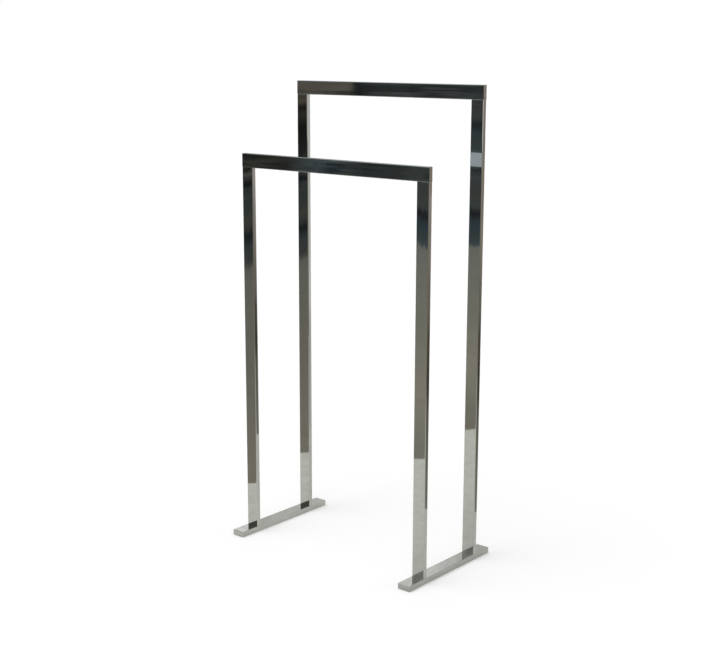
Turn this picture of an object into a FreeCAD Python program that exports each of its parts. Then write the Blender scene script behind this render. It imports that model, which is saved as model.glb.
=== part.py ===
import FreeCAD
import Part
import math
import os

# Freestanding towel stand with two rails, in chromed steel.
#
# Two upside-down U frames stand one behind the other on a pair of flat feet. Each frame is a
# rail of rectangular tube lying on the ends of two uprights of the same tube. The front frame is
# lower than the rear one, so that towels hang in two tiers.
#
# Every corner is held from inside. A block closes the end of the rail and is threaded from below.
# A tie rod runs from it down the middle of the upright to a countersunk sleeve nut under the
# foot. Tightening the nut clamps rail, upright and foot together, and no screw shows from any
# side. A plug in each end of the upright guides the rod, and its key sits in a slot in the rail
# or in the foot, so that the upright can't turn.
#
# Millimetres. X runs across the stand, +Y to its rear and +Z up. The origin lies on the floor,
# midway between the feet and midway along them.

# ---- overall sizes
OVERALL_WIDTH = 500.0      # over the outer faces of the uprights
FOOT_LENGTH = 280.0        # front to rear
FRONT_HEIGHT = 850.0       # floor to the top of the front rail
REAR_HEIGHT = 1000.0       # floor to the top of the rear rail
FRAME_SPACING = 176.0      # centre of the front frame to centre of the rear one

# ---- rectangular tube of the rails and uprights
TUBE_WIDTH = 30.0          # wide faces: they look to the front and rear
TUBE_THICKNESS = 10.0
TUBE_WALL = 1.2
TUBE_CORNER = 1.5          # outside radius of the tube's long corners
CUT_CHAMFER = 0.3          # broken edge round each sawn end

# ---- feet, solid flat bar as wide as the uprights
FOOT_THICKNESS = 12.0
FOOT_CORNER = 1.0          # radius of the foot's long corners
FOOT_END_CHAMFER = 0.5     # broken edge round each end of the foot

# ---- tie rod
ROD_DIAMETER = 5.0
ROD_IN_BLOCK = 15.0        # how far the rod screws into the rail's end block
HOLE_CLEARANCE = 0.15      # round the rod, in a plain hole
THREAD_CLEARANCE = 0.05    # round the rod, in a threaded hole

# ---- plugs and blocks, pressed into the tubes
END_BLOCK_LENGTH = 27.0    # along the rail
TAP_RUNOUT = 3.0           # hole left above the end of the rod
PLUG_DEPTH = 14.0          # inside the upright
PRESS_CLEARANCE = 0.05     # between a plug or block and the tube's walls
PRESS_BEVEL = 0.6          # on the corners that run along the tube
PRESS_LEAD = 0.4           # chamfer round the end that goes in first

# ---- key on each plug, and its slot
KEY_LENGTH = 20.0          # across the stand
KEY_WIDTH = 4.4
KEY_BEVEL = 1.0            # on the key's corners
KEY_CLEARANCE = 0.2        # round the key in its slot
KEY_END_CLEARANCE = 0.3    # beyond the end of the key

# ---- sleeve nut under the foot
NUT_HEAD_DIAMETER = 11.0
NUT_BARREL_DIAMETER = 7.0
NUT_LENGTH = 10.4          # from the face of its head to the end of its barrel
NUT_SINK = 0.4             # how far the head lies inside the foot's underside
NUT_CLEARANCE = 0.15       # round the nut, in its seat
SOCKET_ACROSS_FLATS = 4.0
SOCKET_DEPTH = 3.0
SOCKET_FLOOR = 1.0         # metal between the hexagon socket and the rod

# ---- soft pads let into the underside of the feet
PAD_LENGTH = 24.0          # along the foot
PAD_WIDTH = 16.0
PAD_CORNER = 3.0           # radius
PAD_PROUD = 1.0            # what the foot stands on
PAD_RECESS = 2.0
PAD_CLEARANCE = 0.2        # round the pad in its recess
PAD_FROM_END = 20.0        # pad's centre to the end of the foot

# ---- heights and places that follow from these
CORE_WIDTH = TUBE_WIDTH - 2 * TUBE_WALL
CORE_THICKNESS = TUBE_THICKNESS - 2 * TUBE_WALL
FOOT_TOP = PAD_PROUD + FOOT_THICKNESS
UPRIGHT_X = (OVERALL_WIDTH - TUBE_WIDTH) / 2
ROD_FROM_RAIL_END = TUBE_WIDTH / 2
ROD_BOTTOM = PAD_PROUD + NUT_SINK + SOCKET_DEPTH + SOCKET_FLOOR
KEY_HEIGHT = TUBE_WALL - KEY_END_CLEARANCE
PLAIN_HOLE = ROD_DIAMETER + 2 * HOLE_CLEARANCE
THREADED_HOLE = ROD_DIAMETER + 2 * THREAD_CLEARANCE

OVERCUT = 1.0              # how far a cutting tool runs past the face it cuts
ORIGIN = FreeCAD.Vector(0, 0, 0)
ACROSS = FreeCAD.Vector(1, 0, 0)
UP = FreeCAD.Vector(0, 0, 1)

SIDES = {"left": -1, "right": 1}
FRAMES = {
    "front": {"y": -FRAME_SPACING / 2, "height": FRONT_HEIGHT},
    "rear": {"y": FRAME_SPACING / 2, "height": REAR_HEIGHT},
}


# ---- shapes that several pieces share

def centred_box(width, thickness, height):
    """A box on the plane Z = 0, centred on the Z axis."""
    return Part.makeBox(width, thickness, height, FreeCAD.Vector(-width / 2, -thickness / 2, 0))


def rounded_bar(width, thickness, height, radius):
    """A centred box with its four upright corners rounded."""
    bar = centred_box(width, thickness, height)
    return bar.makeFillet(radius, edges_along_z(bar))


def bevelled_bar(width, thickness, height, bevel):
    """A centred box with its four upright corners bevelled."""
    bar = centred_box(width, thickness, height)
    return bar.makeChamfer(bevel, edges_along_z(bar))


def cylinder(diameter, bottom, top):
    """A cylinder on the Z axis between two heights."""
    return Part.makeCylinder(diameter / 2, top - bottom, FreeCAD.Vector(0, 0, bottom))


def countersink(diameter, depth):
    """A 90 degree cone with its wide end, of that diameter, on Z = 0 and its narrow end above."""
    return Part.makeCone(diameter / 2, diameter / 2 - depth, depth)


def hexagon(across_flats, height):
    """A hexagonal prism on Z = 0, centred on the Z axis."""
    radius = across_flats / math.sqrt(3)
    corners = []
    for i in range(7):
        angle = math.radians(60 * i)
        corners.append(FreeCAD.Vector(radius * math.cos(angle), radius * math.sin(angle), 0))
    return Part.Face(Part.makePolygon(corners)).extrude(FreeCAD.Vector(0, 0, height))


def moved(shape, x, y, z):
    """A copy of the shape, shifted."""
    copy = shape.copy()
    copy.translate(FreeCAD.Vector(x, y, z))
    return copy


def turned(shape, axis, degrees):
    """A copy of the shape, turned about an axis through the origin."""
    copy = shape.copy()
    copy.rotate(ORIGIN, axis, degrees)
    return copy


def lying(shape):
    """A shape that stands on the plane Z = 0, laid down to run from the plane X = 0 towards +X."""
    return turned(shape, FreeCAD.Vector(0, 1, 0), 90)


def edges_along_z(shape):
    """The straight edges of the shape that run along Z."""
    found = []
    for edge in shape.Edges:
        run = edge.Vertexes[-1].Point - edge.Vertexes[0].Point
        if run.Length > 1e-6 and run.cross(UP).Length < 1e-6:
            found.append(edge)
    return found


def edges_at_height(shape, height):
    """The edges of the shape that lie on the plane Z = height."""
    found = []
    for edge in shape.Edges:
        box = edge.BoundBox
        if abs(box.ZMin - height) < 1e-6 and abs(box.ZMax - height) < 1e-6:
            found.append(edge)
    return found


# ---- tubes

def sawn_bar(width, thickness, length, corner, chamfer):
    """A solid bar standing on Z = 0, its long corners rounded and its sawn edges broken."""
    bar = rounded_bar(width, thickness, length, corner)
    return bar.makeChamfer(chamfer, edges_at_height(bar, 0.0) + edges_at_height(bar, length))


def tube(length):
    """Rectangular tube standing on Z = 0, its wide faces to the front and rear."""
    outside = sawn_bar(TUBE_WIDTH, TUBE_THICKNESS, length, TUBE_CORNER, CUT_CHAMFER)
    return outside.cut(centred_box(CORE_WIDTH, CORE_THICKNESS, length))


def key_outline(clearance, height):
    """The key on Z = 0, or with a clearance the slot that it needs, centred on the Z axis."""
    grown = 2 * clearance
    return bevelled_bar(KEY_LENGTH + grown, KEY_WIDTH + grown, height, KEY_BEVEL)


def rail():
    """Rail along X, resting on Z = 0, with a rod hole and a key slot in its lower wall per upright."""
    bar = moved(lying(tube(OVERALL_WIDTH)), -OVERALL_WIDTH / 2, 0, TUBE_WIDTH / 2)
    cut_height = TUBE_WALL + OVERCUT
    passage = key_outline(KEY_CLEARANCE, cut_height).fuse(cylinder(PLAIN_HOLE, 0, cut_height))
    for side in SIDES.values():
        bar = bar.cut(moved(passage, side * UPRIGHT_X, 0, 0))
    return bar


# ---- what is pressed into the tubes

def pressed_bar(length, lead_height):
    """A bar standing on Z = 0 that fills a tube's core, with a lead round its end at lead_height."""
    width = CORE_WIDTH - 2 * PRESS_CLEARANCE
    thickness = CORE_THICKNESS - 2 * PRESS_CLEARANCE
    bar = bevelled_bar(width, thickness, length, PRESS_BEVEL)
    return bar.makeChamfer(PRESS_LEAD, edges_at_height(bar, lead_height))


def rail_end_block():
    """Block that closes the left end of a rail, its outer face on X = 0, centred on the rail."""
    block = lying(pressed_bar(END_BLOCK_LENGTH, END_BLOCK_LENGTH))
    bottom = -CORE_WIDTH / 2
    thread = cylinder(THREADED_HOLE, bottom - OVERCUT, bottom + ROD_IN_BLOCK + TAP_RUNOUT)
    return block.cut(moved(thread, ROD_FROM_RAIL_END, 0, 0))


def upright_plug():
    """Plug for the top end of an upright, that end on Z = 0: its body below and its key above."""
    plug = moved(pressed_bar(PLUG_DEPTH, 0.0), 0, 0, -PLUG_DEPTH)
    plug = plug.fuse(key_outline(0, KEY_HEIGHT))
    return plug.cut(cylinder(PLAIN_HOLE, -PLUG_DEPTH - OVERCUT, KEY_HEIGHT + OVERCUT))


# ---- fasteners

def tie_rod(rail_bottom):
    """Rod from just above the nut's socket up into the end block of a rail at that height."""
    return cylinder(ROD_DIAMETER, ROD_BOTTOM, rail_bottom + TUBE_WALL + ROD_IN_BLOCK)


def sleeve_nut():
    """Countersunk sleeve nut, the face of its head on Z = 0 and its barrel upwards."""
    head_depth = (NUT_HEAD_DIAMETER - NUT_BARREL_DIAMETER) / 2
    nut = countersink(NUT_HEAD_DIAMETER, head_depth).fuse(cylinder(NUT_BARREL_DIAMETER, 0, NUT_LENGTH))
    nut = nut.cut(hexagon(SOCKET_ACROSS_FLATS, SOCKET_DEPTH))
    thread = cylinder(THREADED_HOLE, SOCKET_DEPTH + SOCKET_FLOOR, NUT_LENGTH + OVERCUT)
    return nut.cut(thread).removeSplitter()


# ---- feet

def nut_seat():
    """What one sleeve nut takes out of a foot, from the foot's underside at Z = 0."""
    hole = NUT_BARREL_DIAMETER + 2 * NUT_CLEARANCE
    mouth = NUT_HEAD_DIAMETER + 2 * NUT_SINK + 2 * NUT_CLEARANCE
    return countersink(mouth, (mouth - hole) / 2).fuse(cylinder(hole, 0, FOOT_THICKNESS))


def pad_outline(clearance, bottom, top):
    """The pad between two heights, or with a clearance its recess, centred on the Z axis."""
    grown = 2 * clearance
    pad = rounded_bar(PAD_WIDTH + grown, PAD_LENGTH + grown, top - bottom, PAD_CORNER + clearance)
    return moved(pad, 0, 0, bottom)


def foot():
    """Flat bar lying on Z = 0 along Y, with a nut seat and a key slot per upright, and pad recesses."""
    bar = sawn_bar(TUBE_WIDTH, FOOT_THICKNESS, FOOT_LENGTH, FOOT_CORNER, FOOT_END_CHAMFER)
    bar = moved(turned(bar, ACROSS, -90), 0, -FOOT_LENGTH / 2, FOOT_THICKNESS / 2)
    slot = moved(key_outline(KEY_CLEARANCE, TUBE_WALL + OVERCUT), 0, 0, FOOT_THICKNESS - TUBE_WALL)
    for frame in FRAMES.values():
        bar = bar.cut(moved(nut_seat().fuse(slot), 0, frame["y"], 0))
    recess = pad_outline(PAD_CLEARANCE, -OVERCUT, PAD_RECESS)
    for end in (-1, 1):
        bar = bar.cut(moved(recess, 0, end * (FOOT_LENGTH / 2 - PAD_FROM_END), 0))
    return bar


def foot_pad():
    """Soft pad with its tread on Z = 0."""
    return pad_outline(0, 0, PAD_PROUD + PAD_RECESS)


# ---- the stand

def corner_pieces(side, y, rail_bottom):
    """One upright and all that holds it between its foot and its rail, in place, by short name."""
    x = side * UPRIGHT_X
    block = rail_end_block()
    if side > 0:
        block = turned(block, UP, 180)
    return {
        "upright": moved(tube(rail_bottom - FOOT_TOP), x, y, FOOT_TOP),
        "upright_top_plug": moved(upright_plug(), x, y, rail_bottom),
        "upright_bottom_plug": moved(turned(upright_plug(), ACROSS, 180), x, y, FOOT_TOP),
        "rail_end_block": moved(block, side * OVERALL_WIDTH / 2, y, rail_bottom + TUBE_WIDTH / 2),
        "tie_rod": moved(tie_rod(rail_bottom), x, y, 0),
        "sleeve_nut": moved(sleeve_nut(), x, y, PAD_PROUD + NUT_SINK),
    }


def frame_pieces(frame_name, frame):
    """Every piece of one upside-down U, in place, by name."""
    y = frame["y"]
    rail_bottom = frame["height"] - TUBE_WIDTH
    pieces = {f"{frame_name}_rail": moved(rail(), 0, y, rail_bottom)}
    for side_name, side in SIDES.items():
        for piece_name, shape in corner_pieces(side, y, rail_bottom).items():
            pieces[f"{frame_name}_{side_name}_{piece_name}"] = shape
    return pieces


def foot_pieces(side_name, side):
    """One foot and its two pads, in place, by name."""
    x = side * UPRIGHT_X
    pieces = {f"{side_name}_foot": moved(foot(), x, 0, PAD_PROUD)}
    for end_name, end in {"front": -1, "rear": 1}.items():
        pad_y = end * (FOOT_LENGTH / 2 - PAD_FROM_END)
        pieces[f"{end_name}_{side_name}_foot_pad"] = moved(foot_pad(), x, pad_y, 0)
    return pieces


def main():
    os.makedirs("parts", exist_ok=True)
    pieces = {}
    for frame_name, frame in FRAMES.items():
        pieces.update(frame_pieces(frame_name, frame))
    for side_name, side in SIDES.items():
        pieces.update(foot_pieces(side_name, side))
    for name, shape in pieces.items():
        shape.exportStep(f"parts/{name}.step")


main()
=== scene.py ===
import math

import bpy
from mathutils import Matrix, Vector

# Looks of a freestanding towel stand in mirror chrome: two upside-down U frames of rectangular
# tube on a pair of flat feet. Metres, +Z up, +Y to the rear, origin on the floor under the middle.

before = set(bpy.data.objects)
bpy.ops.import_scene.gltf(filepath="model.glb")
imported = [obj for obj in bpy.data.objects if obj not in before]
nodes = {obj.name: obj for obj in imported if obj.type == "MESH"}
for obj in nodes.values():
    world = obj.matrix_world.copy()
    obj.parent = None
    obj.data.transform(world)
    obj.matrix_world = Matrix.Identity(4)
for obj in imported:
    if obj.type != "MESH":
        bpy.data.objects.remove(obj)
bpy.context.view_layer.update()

CORNERS = [f"{row}_{side}" for row in ("front", "rear") for side in ("left", "right")]


# ---- camera: in front of the stand, to its right, just above the rear rail

CAMERA_PLACE = (1.7487, -2.1019, 1.0696)
CAMERA_YAW = math.radians(39.724)      # turned to its left, from looking along +Y
CAMERA_PITCH = math.radians(12.373)    # tipped down
CAMERA_ROLL = math.radians(0.170)
CAMERA_LENS = 65.57                    # mm
SENSOR_WIDTH = 36.0                    # mm
NEAREST_SEEN = 0.05
FARTHEST_SEEN = 60.0


def add_camera():
    """The camera at the photograph's viewing angle."""
    data = bpy.data.cameras.new("camera")
    data.sensor_width = SENSOR_WIDTH
    data.lens = CAMERA_LENS
    data.clip_start = NEAREST_SEEN
    data.clip_end = FARTHEST_SEEN
    camera = bpy.data.objects.new("camera", data)
    yaw = Matrix.Rotation(CAMERA_YAW, 4, "Z")
    pitch = Matrix.Rotation(math.pi / 2 - CAMERA_PITCH, 4, "X")
    roll = Matrix.Rotation(CAMERA_ROLL, 4, "Z")
    camera.matrix_world = Matrix.Translation(CAMERA_PLACE) @ yaw @ pitch @ roll
    bpy.context.scene.collection.objects.link(camera)
    bpy.context.scene.camera = camera


# ---- small helpers for node trees

def new_material(name):
    """A material with an empty node tree but for its output."""
    material = bpy.data.materials.new(name)
    material.use_nodes = True
    tree = material.node_tree
    tree.nodes.clear()
    output = tree.nodes.new("ShaderNodeOutputMaterial")
    return material, tree, output


def node(tree, kind, **settings):
    """A node of that kind with its properties set."""
    made = tree.nodes.new(kind)
    for name, value in settings.items():
        setattr(made, name, value)
    return made


def put(tree, value, socket):
    """Links an output to a socket, or sets the socket to a constant. A colour has three parts."""
    if isinstance(value, bpy.types.NodeSocket):
        tree.links.new(value, socket)
    elif socket.type == "RGBA":
        socket.default_value = (*value, 1.0)
    else:
        socket.default_value = value


def grey(level):
    """A neutral colour."""
    return (level, level, level)


def maths(tree, operation, a, b=0.0, clamp=False):
    """One operation on two values."""
    made = node(tree, "ShaderNodeMath", operation=operation, use_clamp=clamp)
    put(tree, a, made.inputs[0])
    put(tree, b, made.inputs[1])
    return made.outputs[0]


def times(tree, a, b):
    """Two values multiplied."""
    return maths(tree, "MULTIPLY", a, b)


def opposite(tree, mask):
    """1 where a mask is 0, and 0 where it is 1."""
    return maths(tree, "SUBTRACT", 1.0, mask)


def spread(tree, value, low, high, to_low=0.0, to_high=1.0, smooth=False):
    """Maps a value from one range to another, and holds it at the ends."""
    made = node(tree, "ShaderNodeMapRange")
    made.interpolation_type = "SMOOTHSTEP" if smooth else "LINEAR"
    put(tree, value, made.inputs["Value"])
    put(tree, low, made.inputs["From Min"])
    put(tree, high, made.inputs["From Max"])
    put(tree, to_low, made.inputs["To Min"])
    put(tree, to_high, made.inputs["To Max"])
    return made.outputs["Result"]


def within(tree, value, rise, fall):
    """A mask that goes from 0 to 1 over the rise, and back to 0 over the fall."""
    return times(tree, spread(tree, value, *rise), spread(tree, value, *fall, 1.0, 0.0))


def mixed(tree, factor, a, b, blend="MIX"):
    """Two colours mixed. The mix node keeps them in its sockets 6 and 7."""
    made = node(tree, "ShaderNodeMix", data_type="RGBA", blend_type=blend)
    put(tree, factor, made.inputs[0])
    put(tree, a, made.inputs[6])
    put(tree, b, made.inputs[7])
    return made.outputs[2]


def between(tree, factor, a, b):
    """A value between two others, which the mix node keeps in its sockets 2 and 3."""
    made = node(tree, "ShaderNodeMix")
    put(tree, factor, made.inputs[0])
    put(tree, a, made.inputs[2])
    put(tree, b, made.inputs[3])
    return made.outputs[0]


def scaled(tree, vector, factors):
    """A vector stretched along each axis."""
    made = node(tree, "ShaderNodeVectorMath", operation="MULTIPLY")
    put(tree, vector, made.inputs[0])
    put(tree, factors, made.inputs[1])
    return made.outputs[0]


def noise(tree, vector, scale, detail=2.0, roughness=0.5, distortion=0.0):
    """Soft noise about 0.5."""
    made = node(tree, "ShaderNodeTexNoise")
    put(tree, vector, made.inputs["Vector"])
    made.inputs["Scale"].default_value = scale
    made.inputs["Detail"].default_value = detail
    made.inputs["Roughness"].default_value = roughness
    made.inputs["Distortion"].default_value = distortion
    return made.outputs["Fac"]


def object_place(tree):
    """Object coordinates, which on this stand are also its own frame."""
    return node(tree, "ShaderNodeTexCoord").outputs["Object"]


def bumped(tree, shader, height, strength, distance):
    """Puts a height, in units of the distance, on a shader's normal."""
    bump = node(tree, "ShaderNodeBump")
    bump.inputs["Strength"].default_value = strength
    bump.inputs["Distance"].default_value = distance
    put(tree, height, bump.inputs["Height"])
    put(tree, bump.outputs["Normal"], shader.inputs["Normal"])


# ---- chrome

CHROME_FACE = (0.620, 0.625, 0.615)
CHROME_HAZE = (0.575, 0.585, 0.580)
CHROME_ROUGHNESS = 0.03
MILLIMETRE = 0.001
DRAWN_OUT = 0.02       # along a piece, its lines are 50 times as long as they are wide
FOOT_WAVINESS = 1.6    # solid bar is less even than tube

HAIRLINES = {"scale": 900.0, "detail": 3.0, "roughness": 0.6}
HANDLED_PLACES = {"scale": 14.0}
WIPED_FILM = {"scale": 9.0, "detail": 4.0, "roughness": 0.55, "distortion": 0.6}
DRAW_LINES = {"scale": 210.0}
HOLLOWS = {"scale": 62.0, "detail": 1.0, "roughness": 0.4}
WAVE = {"scale": 13.0, "detail": 1.0, "roughness": 0.4}

HAIRLINE_ROUGHNESS = 0.05
FILM_ROUGHNESS = 0.02
FILM_HAZE = 0.45
HAIRLINE_HAZE = 0.5
DRAW_LINE_HAZE = 0.45
HOLLOW_DEPTH = 0.085   # mm
WAVE_DEPTH = 0.11      # mm


def polish_group():
    """Marks that polishing and handling leave on chrome, drawn out by the stretch of the piece."""
    tree = bpy.data.node_groups.new("polish marks", "ShaderNodeTree")
    face = tree.interface
    for name, kind in (("Position", "Vector"), ("Stretch", "Vector"), ("Base Roughness", "Float")):
        face.new_socket(name, in_out="INPUT", socket_type=f"NodeSocket{kind}")
    for name in ("Roughness", "Haze", "Height"):
        face.new_socket(name, in_out="OUTPUT", socket_type="NodeSocketFloat")
    start = tree.nodes.new("NodeGroupInput")
    end = tree.nodes.new("NodeGroupOutput")
    place = start.outputs["Position"]
    drawn = scaled(tree, place, start.outputs["Stretch"])
    # hairlines: fine, long and sparse
    lines = spread(tree, noise(tree, drawn, **HAIRLINES), 0.58, 0.74)
    handled = spread(tree, noise(tree, place, **HANDLED_PLACES), 0.42, 0.62, smooth=True)
    hairlines = times(tree, lines, handled)
    # wiped film: broad, soft patches
    film = spread(tree, noise(tree, place, **WIPED_FILM), 0.48, 0.72, smooth=True)
    # draw lines of the tube under the plate: broader bands along it
    bands = spread(tree, noise(tree, drawn, **DRAW_LINES), 0.35, 0.70, smooth=True)
    rough = maths(
        tree, "ADD", start.outputs["Base Roughness"], times(tree, hairlines, HAIRLINE_ROUGHNESS))
    rough = maths(tree, "ADD", rough, times(tree, film, FILM_ROUGHNESS))
    put(tree, rough, end.inputs["Roughness"])
    haze = maths(tree, "ADD", times(tree, film, FILM_HAZE), times(tree, hairlines, HAIRLINE_HAZE))
    haze = maths(tree, "ADD", haze, times(tree, bands, DRAW_LINE_HAZE), clamp=True)
    put(tree, haze, end.inputs["Haze"])
    # height in millimetres: hollows along the tube and a slower wave of its surface
    hollows = times(tree, noise(tree, drawn, **HOLLOWS), HOLLOW_DEPTH)
    wave = times(tree, noise(tree, place, **WAVE), WAVE_DEPTH)
    put(tree, maths(tree, "ADD", hollows, wave), end.inputs["Height"])
    return tree


def chrome(name, polish, stretch, waviness=1.0):
    """Mirror chrome whose polishing lines run along the axis with the smallest stretch."""
    material, tree, output = new_material(name)
    shader = node(tree, "ShaderNodeBsdfPrincipled")
    marks = node(tree, "ShaderNodeGroup", node_tree=polish)
    put(tree, object_place(tree), marks.inputs["Position"])
    marks.inputs["Stretch"].default_value = stretch
    marks.inputs["Base Roughness"].default_value = CHROME_ROUGHNESS
    colour = mixed(tree, marks.outputs["Haze"], CHROME_FACE, CHROME_HAZE)
    put(tree, colour, shader.inputs["Base Color"])
    put(tree, marks.outputs["Roughness"], shader.inputs["Roughness"])
    shader.inputs["Metallic"].default_value = 1.0
    bumped(tree, shader, marks.outputs["Height"], 1.0, MILLIMETRE * waviness)
    put(tree, shader.outputs["BSDF"], output.inputs["Surface"])
    return material


# ---- zinc plate and rubber

ZINC_BLUE = (0.52, 0.55, 0.60)
ZINC_STRAW = (0.62, 0.59, 0.50)
ZINC_BLOOM = {"scale": 160.0, "detail": 3.0, "roughness": 0.6}
ZINC_GRAIN = {"scale": 1400.0, "detail": 3.0, "roughness": 0.6}
ZINC_ROUGHNESS = (0.24, 0.42)
ZINC_GRAIN_DEPTH = 0.05 * MILLIMETRE

RUBBER_BLACK = (0.014, 0.014, 0.015)
FLOOR_DUST = (0.075, 0.07, 0.062)
DUST_PATCHES = {"scale": 220.0, "detail": 5.0, "roughness": 0.65}
THICKEST_DUST = 0.5
RUBBER_GRAIN = {"scale": 2600.0, "detail": 2.0, "roughness": 0.5}
RUBBER_ROUGHNESS = (0.62, 0.85)
RUBBER_GRAIN_DEPTH = 0.1 * MILLIMETRE


def zinc_plate():
    """Bright zinc with a faint blue and straw bloom."""
    material, tree, output = new_material("zinc_plate")
    shader = node(tree, "ShaderNodeBsdfPrincipled")
    place = object_place(tree)
    bloom = spread(tree, noise(tree, place, **ZINC_BLOOM), 0.35, 0.65, smooth=True)
    put(tree, mixed(tree, bloom, ZINC_BLUE, ZINC_STRAW), shader.inputs["Base Color"])
    grain = noise(tree, place, **ZINC_GRAIN)
    put(tree, spread(tree, grain, 0.3, 0.7, *ZINC_ROUGHNESS), shader.inputs["Roughness"])
    shader.inputs["Metallic"].default_value = 1.0
    bumped(tree, shader, grain, 0.4, ZINC_GRAIN_DEPTH)
    put(tree, shader.outputs["BSDF"], output.inputs["Surface"])
    return material


def pad_rubber():
    """Matt black rubber with fine grain and a little floor dust."""
    material, tree, output = new_material("pad_rubber")
    shader = node(tree, "ShaderNodeBsdfPrincipled")
    place = object_place(tree)
    patches = noise(tree, place, **DUST_PATCHES)
    dust = spread(tree, patches, 0.45, 0.75, 0.0, THICKEST_DUST, smooth=True)
    put(tree, mixed(tree, dust, RUBBER_BLACK, FLOOR_DUST), shader.inputs["Base Color"])
    grain = noise(tree, place, **RUBBER_GRAIN)
    put(tree, spread(tree, grain, 0.3, 0.7, *RUBBER_ROUGHNESS), shader.inputs["Roughness"])
    bumped(tree, shader, grain, 0.5, RUBBER_GRAIN_DEPTH)
    put(tree, shader.outputs["BSDF"], output.inputs["Surface"])
    return material


def dress_nodes():
    """Gives every carried-over piece its finish."""
    polish = polish_group()
    rail_chrome = chrome("rail_chrome", polish, (DRAWN_OUT, 1.0, 1.0))
    upright_chrome = chrome("upright_chrome", polish, (1.0, 1.0, DRAWN_OUT))
    foot_chrome = chrome("foot_chrome", polish, (1.0, DRAWN_OUT, 1.0), FOOT_WAVINESS)
    rubber = pad_rubber()
    zinc = zinc_plate()
    finish = {
        "front_rail": rail_chrome, "rear_rail": rail_chrome,
        "left_foot": foot_chrome, "right_foot": foot_chrome,
    }
    for corner in CORNERS:
        finish[f"{corner}_rail_end_block"] = rail_chrome
        finish[f"{corner}_upright"] = upright_chrome
        finish[f"{corner}_foot_pad"] = rubber
    # the plugs, tie rods and sleeve nuts are zinc plated
    for name, piece in nodes.items():
        for slot in piece.material_slots:
            slot.material = finish.get(name, zinc)


# ---- the set: glowing cards and screens that only mirrors see, painted with the light and shade of a
# room, so that the chrome shows painted reflections. A pale sheet lies under the stand and rises
# behind it. Round the sheet are a grey floor, a dark wall to the left, a dark flag from that wall
# to the sheet's rise, and a large window behind the camera. A far room encloses it all.

SET_TURN = Matrix.Rotation(CAMERA_YAW, 4, "Z")      # the set lies square to the camera

SHEET_HEIGHT = 0.0006
GREY_FLOOR_HEIGHT = 0.0002
ROOM_HEIGHT = 2.4
WINDOW_SILL = 0.45
ROOM_RADIUS = 14.0
REACH = 15.0            # half of the grey floor, so that it meets the far room

# places on the set in metres: to the camera's right of the stand, then away from the camera
SHEET_EDGE = [
    (0.66, 0.31), (0.535, 0.16), (0.53, 0.00), (0.575, -0.12), (0.60, -1.70),
    (-0.67, -1.70), (-0.688, -0.42), (-0.708, -0.36), (-0.712, -0.30),
    (-0.567, 0.035), (-0.573, 0.16), (-0.575, 0.31),
]
BACKDROP = [(-0.575, 0.31), (0.66, 0.31)]
WALL_FOOT = [
    (-3.75, 0.60), (-3.77, -0.22), (-3.95, -0.33), (-4.00, -0.62), (-4.62, -0.80), (-4.62, -1.30),
    (-4.20, -1.30), (-4.30, -2.30), (-6.20, -4.60),
]
WINDOW = [(-5.6, -5.4), (1.6, -5.6)]
FLAG = [(-0.62, 0.34), (-3.5, 0.62)]


def on_set(place, height):
    """A place on the set, and its height, in the stand's own frame."""
    return SET_TURN @ Vector((place[0], place[1], height))


def for_mirrors_only(made, material):
    """Finishes a piece of the set: only mirrors see it, and it shades nothing."""
    made.data.materials.append(material)
    made.visible_camera = False
    made.visible_diffuse = False
    made.visible_shadow = False


def mirrored_piece(name, corners, faces, material):
    """A card or screen of the set."""
    mesh = bpy.data.meshes.new(name)
    mesh.from_pydata(corners, [], faces)
    made = bpy.data.objects.new(name, mesh)
    bpy.context.scene.collection.objects.link(made)
    for_mirrors_only(made, material)


def flat_piece(name, outline, height, material):
    """A card that lies flat."""
    corners = [on_set(place, height) for place in outline]
    mirrored_piece(name, corners, [list(range(len(corners)))], material)


def standing_piece(name, line, bottom, material):
    """A folding screen that stands along a line on the set, up to the room's height."""
    corners = [on_set(place, height) for height in (bottom, ROOM_HEIGHT) for place in line]
    count = len(line)
    faces = [(i, i + 1, count + i + 1, count + i) for i in range(count - 1)]
    mirrored_piece(name, corners, faces, material)


def stand_place(tree):
    """Where a point of the set is, in the stand's own frame."""
    return node(tree, "ShaderNodeNewGeometry").outputs["Position"]


def set_axes(tree, vector):
    """A vector's three parts on the set: right, away and up."""
    turned = node(tree, "ShaderNodeVectorRotate", rotation_type="Z_AXIS")
    put(tree, vector, turned.inputs["Vector"])
    turned.inputs["Angle"].default_value = -CAMERA_YAW
    split = node(tree, "ShaderNodeSeparateXYZ")
    put(tree, turned.outputs["Vector"], split.inputs[0])
    return split.outputs[0], split.outputs[1], split.outputs[2]


def glowing(tree, colour, output, strength=1.0):
    """Makes a material shine with its colour, so that no light changes it."""
    shader = node(tree, "ShaderNodeEmission")
    put(tree, colour, shader.inputs["Color"])
    put(tree, strength, shader.inputs["Strength"])
    put(tree, shader.outputs[0], output.inputs["Surface"])


def ramp(tree, value, low, high, stops):
    """Colours along a value. Each stop is a value between low and high, and its colour."""
    made = node(tree, "ShaderNodeValToRGB")
    put(tree, spread(tree, value, low, high), made.inputs[0])
    elements = made.color_ramp.elements
    while len(elements) < len(stops):
        elements.new(0.5)
    for element, (place, colour) in zip(elements, stops):
        element.position = (place - low) / (high - low)
        element.color = (*colour, 1.0)
    return made.outputs[0]


def blotches(tree, vector, scale, swing, detail=2.0):
    """A grey that wanders by the swing to either side of 1, to multiply a colour by."""
    return spread(tree, noise(tree, vector, scale, detail), 0.30, 0.70, 1.0 - swing, 1.0 + swing)


# ---- the pale sheet and its rise behind the stand

SHEET_LEFT = (0.680, 0.690, 0.630)
SHEET_RIGHT = (0.615, 0.610, 0.565)
SHADE_REACH = 0.10      # how near a foot or upright has to be to darken the sheet
DEEPEST_SHADE = 0.56

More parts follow.
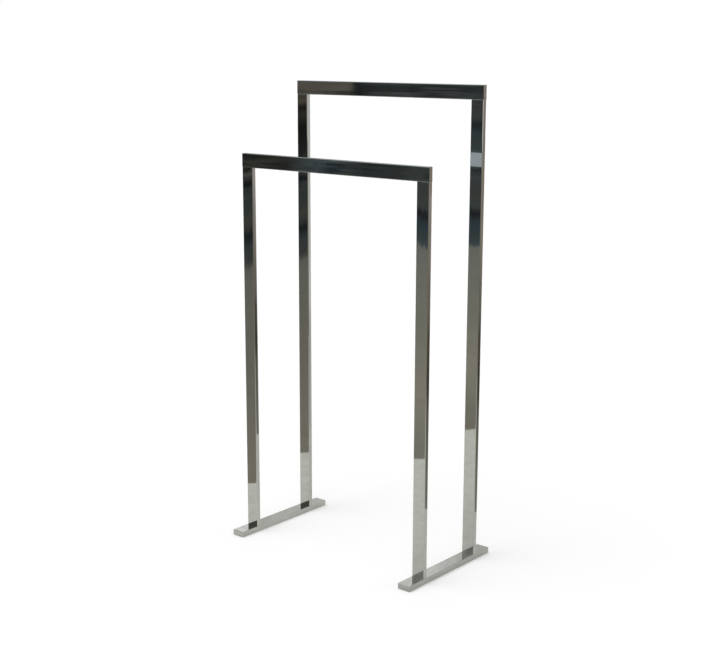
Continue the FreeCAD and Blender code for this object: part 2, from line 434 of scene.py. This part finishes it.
RISE_LOWER = (0.600, 0.600, 0.590)
RISE_UPPER = (0.620, 0.690, 0.750)
RISE_RIGHT = (0.665, 0.660, 0.620)
RISE_BAND = [           # a band across it, dark to the left
    (-0.23, (0.050, 0.046, 0.040)), (-0.15, (0.125, 0.122, 0.115)),
    (-0.07, (0.160, 0.158, 0.142)), (0.02, (0.290, 0.290, 0.275)),
    (0.10, (0.560, 0.570, 0.580)), (0.20, (0.630, 0.640, 0.640)),
]
RISE_FOOT = [           # low down, where the tops of the feet show it, paler in two places
    (-0.264, (0.870, 0.870, 0.855)), (-0.252, (0.530, 0.530, 0.500)),
    (-0.18, (0.590, 0.590, 0.560)), (0.10, (0.750, 0.760, 0.720)),
    (0.19, (0.730, 0.735, 0.710)), (0.27, (0.535, 0.535, 0.505)),
]


def add_sheet():
    """The pale sheet that the stand is on, with painted shadow close to the feet and uprights, and
    painted light and shade of wrinkles.
    """
    sheet, tree, output = new_material("pale_sheet")
    right, _, _ = set_axes(tree, stand_place(tree))
    tone = mixed(tree, spread(tree, right, -0.16, 0.02), SHEET_LEFT, SHEET_RIGHT)
    # painted shadow: the sheet's glow is darker where the stand is near
    closeness = node(tree, "ShaderNodeAmbientOcclusion", samples=8)
    closeness.inputs["Distance"].default_value = SHADE_REACH
    shade = spread(tree, closeness.outputs["AO"], 0.3, 1.0, DEEPEST_SHADE, 1.0)
    # painted light and shade of wrinkles in the sheet's glow
    painted_wrinkle_shading = blotches(tree, stand_place(tree), 30.0, 0.06)
    glowing(tree, tone, output, times(tree, shade, painted_wrinkle_shading))
    flat_piece("pale_sheet", SHEET_EDGE, SHEET_HEIGHT, sheet)


def add_backdrop():
    """The sheet's rise behind the stand, with painted light and shade of creases low down and of
    soft folds above.
    """
    backdrop, tree, output = new_material("backdrop")
    right, _, up = set_axes(tree, stand_place(tree))
    middle = mixed(tree, spread(tree, up, 0.45, 0.80, smooth=True), RISE_LOWER, RISE_UPPER)
    tone = mixed(tree, spread(tree, right, 0.30, 0.50, smooth=True), middle, RISE_RIGHT)
    band = within(tree, up, (0.850, 0.862), (0.90, 0.93))
    tone = mixed(tree, band, tone, ramp(tree, right, -0.6, 0.6, RISE_BAND))
    low = spread(tree, up, 0.30, 0.36, 1.0, 0.0)
    tone = mixed(tree, low, tone, ramp(tree, right, -0.4, 0.4, RISE_FOOT))
    place = stand_place(tree)
    # painted light and shade of soft folds above and of creases low down, in the rise's glow
    painted_fold_shading = blotches(tree, place, 5.0, 0.10)
    painted_crease_shading = times(tree, blotches(tree, place, 34.0, 0.05), blotches(tree, place, 120.0, 0.07))
    glowing(tree, tone, output, between(tree, low, painted_fold_shading, painted_crease_shading))
    standing_piece("backdrop", BACKDROP, 0.0, backdrop)


# ---- the grey floor. Its left half has a part close to the camera, a part beside the stand, and a
# part behind it

LEFT_FLOOR_BESIDE = [
    (-6.0, (0.060, 0.062, 0.056)), (-4.2, (0.140, 0.145, 0.125)),
    (-3.45, (0.165, 0.168, 0.142)), (-1.9, (0.195, 0.185, 0.150)),
    (-0.5, (0.255, 0.238, 0.195)),
]
LEFT_FLOOR_CLOSE = [
    (-6.0, (0.160, 0.160, 0.140)), (-4.3, (0.195, 0.200, 0.175)),
    (-2.4, (0.235, 0.235, 0.195)), (-1.45, (0.305, 0.287, 0.238)),
    (-1.1, (0.294, 0.282, 0.228)), (-0.8, (0.262, 0.255, 0.213)),
]
LEFT_FLOOR_BEHIND = (0.055, 0.058, 0.055)
RIGHT_FLOOR = [
    (0.0, (0.230, 0.225, 0.195)), (0.6, (0.222, 0.215, 0.180)),
    (1.38, (0.142, 0.132, 0.102)), (1.56, (0.080, 0.070, 0.052)),
    (1.8, (0.065, 0.055, 0.042)), (2.1, (0.100, 0.083, 0.064)),
    (2.45, (0.100, 0.083, 0.064)), (2.62, (0.150, 0.132, 0.108)),
    (2.9, (0.195, 0.170, 0.142)), (3.4, (0.205, 0.180, 0.148)),
    (4.2, (0.275, 0.240, 0.200)), (5.6, (0.315, 0.275, 0.240)),
    (7.8, (0.440, 0.385, 0.352)),
]
RIGHT_FLOOR_FAR = (0.285, 0.245, 0.200)


def floor_half(name, left, right, material):
    """The part of the grey floor between two places to the camera's right."""
    outline = [(left, -REACH), (right, -REACH), (right, REACH), (left, REACH)]
    flat_piece(name, outline, GREY_FLOOR_HEIGHT, material)


def add_grey_floor():
    """The grey floor round the sheet, in a left and a right half."""
    left_half, tree, output = new_material("grey_floor_left")
    right, away, _ = set_axes(tree, stand_place(tree))
    beside = ramp(tree, right, -6.0, 0.0, LEFT_FLOOR_BESIDE)
    close = ramp(tree, right, -6.0, 0.0, LEFT_FLOOR_CLOSE)
    tone = mixed(tree, spread(tree, away, -0.36, -0.50, smooth=True), beside, close)
    tone = mixed(tree, spread(tree, away, 0.20, 0.30, smooth=True), tone, LEFT_FLOOR_BEHIND)
    glowing(tree, tone, output, blotches(tree, stand_place(tree), 9.0, 0.06, detail=4.0))
    floor_half("grey_floor_left", -REACH, 0.0, left_half)

    right_half, tree, output = new_material("grey_floor_right")
    right, away, _ = set_axes(tree, stand_place(tree))
    tone = ramp(tree, right, 0.0, 10.0, RIGHT_FLOOR)
    tone = mixed(tree, spread(tree, away, 1.40, 1.62, smooth=True), tone, RIGHT_FLOOR_FAR)
    glowing(tree, tone, output, blotches(tree, stand_place(tree), 7.0, 0.06))
    floor_half("grey_floor_right", 0.0, REACH, right_half)


# ---- the dark wall, painted with light and shade. Its far side and its near side are stacks of
# paler and darker fields by height, with soft dark lines across them: height, reach and colour

FAR_SIDE = [
    (0.00, (0.095, 0.105, 0.090)), (0.03, (0.050, 0.055, 0.052)),
    (0.13, (0.037, 0.042, 0.043)), (0.23, (0.065, 0.070, 0.062)),
    (0.29, (0.048, 0.055, 0.050)), (0.37, (0.040, 0.048, 0.046)),
    (0.46, (0.060, 0.062, 0.053)), (0.54, (0.020, 0.021, 0.018)),
    (0.68, (0.013, 0.014, 0.012)), (0.735, (0.036, 0.035, 0.028)),
    (0.775, (0.034, 0.033, 0.027)), (0.815, (0.100, 0.095, 0.075)),
    (0.90, (0.135, 0.122, 0.095)), (1.10, (0.085, 0.085, 0.075)),
    (1.90, (0.130, 0.130, 0.120)),
]
FAR_SIDE_EDGES = [
    (0.158, 0.045, (0.020, 0.024, 0.024)), (0.412, 0.045, (0.013, 0.016, 0.019)),
    (0.780, 0.030, (0.009, 0.009, 0.008)), (0.829, 0.015, (0.034, 0.030, 0.024)),
]
NEAR_SIDE = [
    (0.00, (0.052, 0.070, 0.078)), (0.06, (0.048, 0.068, 0.074)),
    (0.12, (0.038, 0.054, 0.060)), (0.24, (0.060, 0.068, 0.063)),
    (0.36, (0.054, 0.065, 0.066)), (0.41, (0.042, 0.051, 0.054)),
    (0.46, (0.062, 0.074, 0.078)), (0.61, (0.048, 0.062, 0.062)),
    (0.70, (0.058, 0.062, 0.061)), (0.77, (0.057, 0.058, 0.058)),
    (0.86, (0.030, 0.037, 0.040)), (0.95, (0.046, 0.058, 0.060)),
    (1.30, (0.150, 0.150, 0.135)), (1.65, (0.270, 0.270, 0.245)),
    (2.20, (0.330, 0.330, 0.310)),
]
NEAR_SIDE_EDGES = [
    (0.172, 0.040, (0.018, 0.022, 0.029)), (0.662, 0.040, (0.020, 0.025, 0.029)),
]
HIGH_PART = (0.70, 0.76)    # the heights over which its low part turns into its high part
DARK_SHAPE = (0.008, 0.009, 0.009)
DARK_SHAPE_STRENGTH = 0.6
FLAG_TONE = (0.020, 0.021, 0.020)

# how much the painted light and shade along the wall darkens or brightens it, where each rail shows
# it
BEHIND_FRONT_RAIL = [
    (-1.27, 1.05), (-1.18, 0.58), (-1.02, 0.53), (-0.86, 1.10), (-0.70, 1.35), (-0.42, 1.25),
    (-0.30, 1.05),
]
BEHIND_REAR_RAIL = [(-1.30, 1.12), (-1.00, 1.40), (-0.78, 0.80), (-0.61, 1.00)]
PALEST_LEVEL = 2.0

STREAKS_ALONG = 3.2         # in a metre along the wall
STREAKS_UP = 42.0           # in a metre up it
STREAK_PATTERN = 11.9       # which of the noise's patterns the wall has
CALMNESS = 0.8
STREAKED = [                # 1 at the heights that the rails show
    (0.36, grey(0.0)), (0.39, grey(1.0)), (0.49, grey(1.0)), (0.53, grey(0.0)),
    (0.74, grey(0.0)), (0.79, grey(1.0)),
]
WARM_TINT = (1.25, 1.00, 0.80)
COOL_TINT = (0.78, 1.00, 1.20)


def stack(tree, up, fields, edges):
    """Fields of colour by height, with a soft dark line across them at each edge."""
    tone = ramp(tree, up, 0.0, ROOM_HEIGHT, fields)
    for height, reach, colour in edges:
        distance = maths(tree, "ABSOLUTE", maths(tree, "SUBTRACT", up, height))
        line = spread(tree, distance, 0.0, reach, 1.0, 0.0, smooth=True)
        tone = mixed(tree, line, tone, colour)
    return tone


def along_wall(tree, away, stops):
    """A grey along the wall. Each stop is a place away from the camera, and its level."""
    parts = [(place, grey(level / PALEST_LEVEL)) for place, level in stops]
    return scaled(tree, ramp(tree, away, -1.4, -0.2, parts), grey(PALEST_LEVEL))


def add_dark_wall():
    """The dark wall to the left, which the faces towards the camera show."""
    wall, tree, output = new_material("dark_wall")
    _, away, up = set_axes(tree, stand_place(tree))
    # its two sides meet softly low down, and at a sharp edge higher up
    high = spread(tree, up, *HIGH_PART)
    sharp = spread(tree, away, -0.585, -0.61)
    near = between(tree, high, spread(tree, away, -0.46, -0.66, smooth=True), sharp)
    far_side = stack(tree, up, FAR_SIDE, FAR_SIDE_EDGES)
    near_side = stack(tree, up, NEAR_SIDE, NEAR_SIDE_EDGES)
    tone = mixed(tree, near, far_side, near_side)
    # a painted dark shape just on the near side of that edge
    shape = within(tree, away, (-0.59, -0.61), (-0.66, -0.74))
    shape = times(tree, shape, spread(tree, up, 0.74, 0.80, 0.0, DARK_SHAPE_STRENGTH))
    tone = mixed(tree, shape, tone, DARK_SHAPE)
    # painted light and shade along the wall make it paler or darker at the heights that each rail
    # shows
    at_front_rail = within(tree, up, (0.33, 0.36), (0.57, 0.60))
    at_rear_rail = spread(tree, up, 0.775, 0.79)
    painted_light_and_shade = mixed(tree, at_front_rail, grey(1.0), along_wall(tree, away, BEHIND_FRONT_RAIL))
    painted_light_and_shade = mixed(tree, at_rear_rail, painted_light_and_shade, along_wall(tree, away, BEHIND_REAR_RAIL))
    tone = mixed(tree, 1.0, tone, painted_light_and_shade, "MULTIPLY")
    # long streaks at the rails' heights, calmer on the far side high up, and soft patches between
    joined = node(tree, "ShaderNodeCombineXYZ")
    put(tree, times(tree, away, STREAKS_ALONG), joined.inputs[0])
    put(tree, times(tree, up, STREAKS_UP), joined.inputs[1])
    joined.inputs[2].default_value = STREAK_PATTERN
    drawn = joined.outputs[0]
    streaks = blotches(tree, drawn, 1.0, 0.85, detail=3.0)
    patches = blotches(tree, drawn, 0.3, 0.16)
    calm = times(tree, spread(tree, up, *HIGH_PART, 0.0, CALMNESS), opposite(tree, sharp))
    streaked = times(tree, ramp(tree, up, 0.0, ROOM_HEIGHT, STREAKED), opposite(tree, calm))
    strength = between(tree, streaked, patches, streaks)
    tint = mixed(tree, noise(tree, drawn, 0.7, 1.0), WARM_TINT, COOL_TINT)
    glowing(tree, mixed(tree, 1.0, tone, tint, "MULTIPLY"), output, strength)
    standing_piece("dark_wall", WALL_FOOT, 0.0, wall)

    flag, tree, output = new_material("dark_flag")
    glowing(tree, FLAG_TONE, output)
    standing_piece("dark_flag", FLAG, 0.0, flag)


# ---- the window, and what lies beyond the cards

WINDOW_WHITE = (1.0, 1.0, 0.98)

# away from the camera, as a share of the distance
LEFT_OF_ROOM = [(-0.45, (0.38, 0.39, 0.37)), (0.0, (0.105, 0.115, 0.105))]
# up, as a share of the distance
RIGHT_OF_ROOM = [
    (-0.2, (0.27, 0.23, 0.19)), (-0.03, (0.305, 0.262, 0.215)),
    (0.1, (0.36, 0.31, 0.28)), (0.6, (0.44, 0.42, 0.40)),
]
BACK_OF_ROOM = (0.66, 0.66, 0.67)
LIGHT_OVERHEAD = (0.97, 0.95, 0.90)


def add_window():
    """The large window behind the camera."""
    window, tree, output = new_material("soft_window")
    glowing(tree, WINDOW_WHITE, output)
    standing_piece("soft_window", WINDOW, WINDOW_SILL, window)


def add_far_room():
    """The far room: darker to the left, brown to the right, pale behind and lit overhead."""
    room, tree, output = new_material("far_room")
    outwards = node(tree, "ShaderNodeVectorMath", operation="NORMALIZE")
    put(tree, stand_place(tree), outwards.inputs[0])
    right, away, up = set_axes(tree, outwards.outputs[0])
    left_side = ramp(tree, away, -0.5, 0.1, LEFT_OF_ROOM)
    right_side = ramp(tree, up, -0.2, 0.6, RIGHT_OF_ROOM)
    tone = mixed(tree, spread(tree, right, -0.25, 0.25, smooth=True), left_side, right_side)
    tone = mixed(tree, spread(tree, away, 0.30, 0.42, smooth=True), tone, BACK_OF_ROOM)
    tone = mixed(tree, spread(tree, up, 0.50, 0.75, smooth=True), tone, LIGHT_OVERHEAD)
    glowing(tree, tone, output)
    bpy.ops.mesh.primitive_uv_sphere_add(segments=48, ring_count=24, radius=ROOM_RADIUS)
    made = bpy.context.object
    made.name = "far_room"
    for_mirrors_only(made, room)
    made.select_set(False)


# ---- the white floor, the white world and the soft light

FLOOR_GREY = 0.8
FLOOR_GLOW = 0.22       # brings the lit floor up to white
FLOOR_SIZE = 60.0
MATT_LIGHT = 0.56       # what the world gives to matt surfaces
SUN_STRENGTH = 1.45
SUN_WIDTH = math.radians(50.0)
SUN_TURN = (math.radians(16.0), math.radians(-12.0), 0.0)


def background_ray(tree):
    """1 on rays that show the background: straight, mirrored or through something clear."""
    path = node(tree, "ShaderNodeLightPath")
    shown = maths(tree, "MAXIMUM", path.outputs["Is Camera Ray"], path.outputs["Is Glossy Ray"])
    return maths(tree, "MAXIMUM", shown, path.outputs["Is Transmission Ray"])


def add_white_floor():
    """The white floor with the stand's soft shadow on it."""
    floor, tree, output = new_material("white_floor")
    matt = node(tree, "ShaderNodeBsdfDiffuse")
    put(tree, grey(FLOOR_GREY), matt.inputs["Color"])
    glow = node(tree, "ShaderNodeEmission")
    put(tree, times(tree, background_ray(tree), FLOOR_GLOW), glow.inputs["Strength"])
    both = node(tree, "ShaderNodeAddShader")
    put(tree, matt.outputs[0], both.inputs[0])
    put(tree, glow.outputs[0], both.inputs[1])
    put(tree, both.outputs[0], output.inputs["Surface"])
    bpy.ops.mesh.primitive_plane_add(size=FLOOR_SIZE, location=(0.0, 0.0, 0.0))
    made = bpy.context.object
    made.name = "white_floor"
    made.data.materials.append(floor)
    made.select_set(False)


def add_world():
    """White where it shows, and a plain soft grey light on matt surfaces."""
    world = bpy.data.worlds.new("studio")
    bpy.context.scene.world = world
    world.use_nodes = True
    tree = world.node_tree
    tree.nodes.clear()
    output = tree.nodes.new("ShaderNodeOutputWorld")
    background = node(tree, "ShaderNodeBackground")
    colour = mixed(tree, background_ray(tree), grey(MATT_LIGHT), grey(1.0))
    put(tree, colour, background.inputs["Color"])
    put(tree, background.outputs[0], output.inputs["Surface"])


def add_sun():
    """A broad soft light from above, a little to the left and front."""
    data = bpy.data.lights.new("soft_light", "SUN")
    data.energy = SUN_STRENGTH
    data.angle = SUN_WIDTH
    lamp = bpy.data.objects.new("soft_light", data)
    lamp.rotation_euler = SUN_TURN
    lamp.visible_glossy = False
    bpy.context.scene.collection.objects.link(lamp)


bpy.ops.object.select_all(action="DESELECT")
add_camera()
dress_nodes()
add_sheet()
add_backdrop()
add_grey_floor()
add_dark_wall()
add_window()
add_far_room()
add_white_floor()
add_world()
add_sun()

bpy.context.scene.view_settings.view_transform = "Standard"
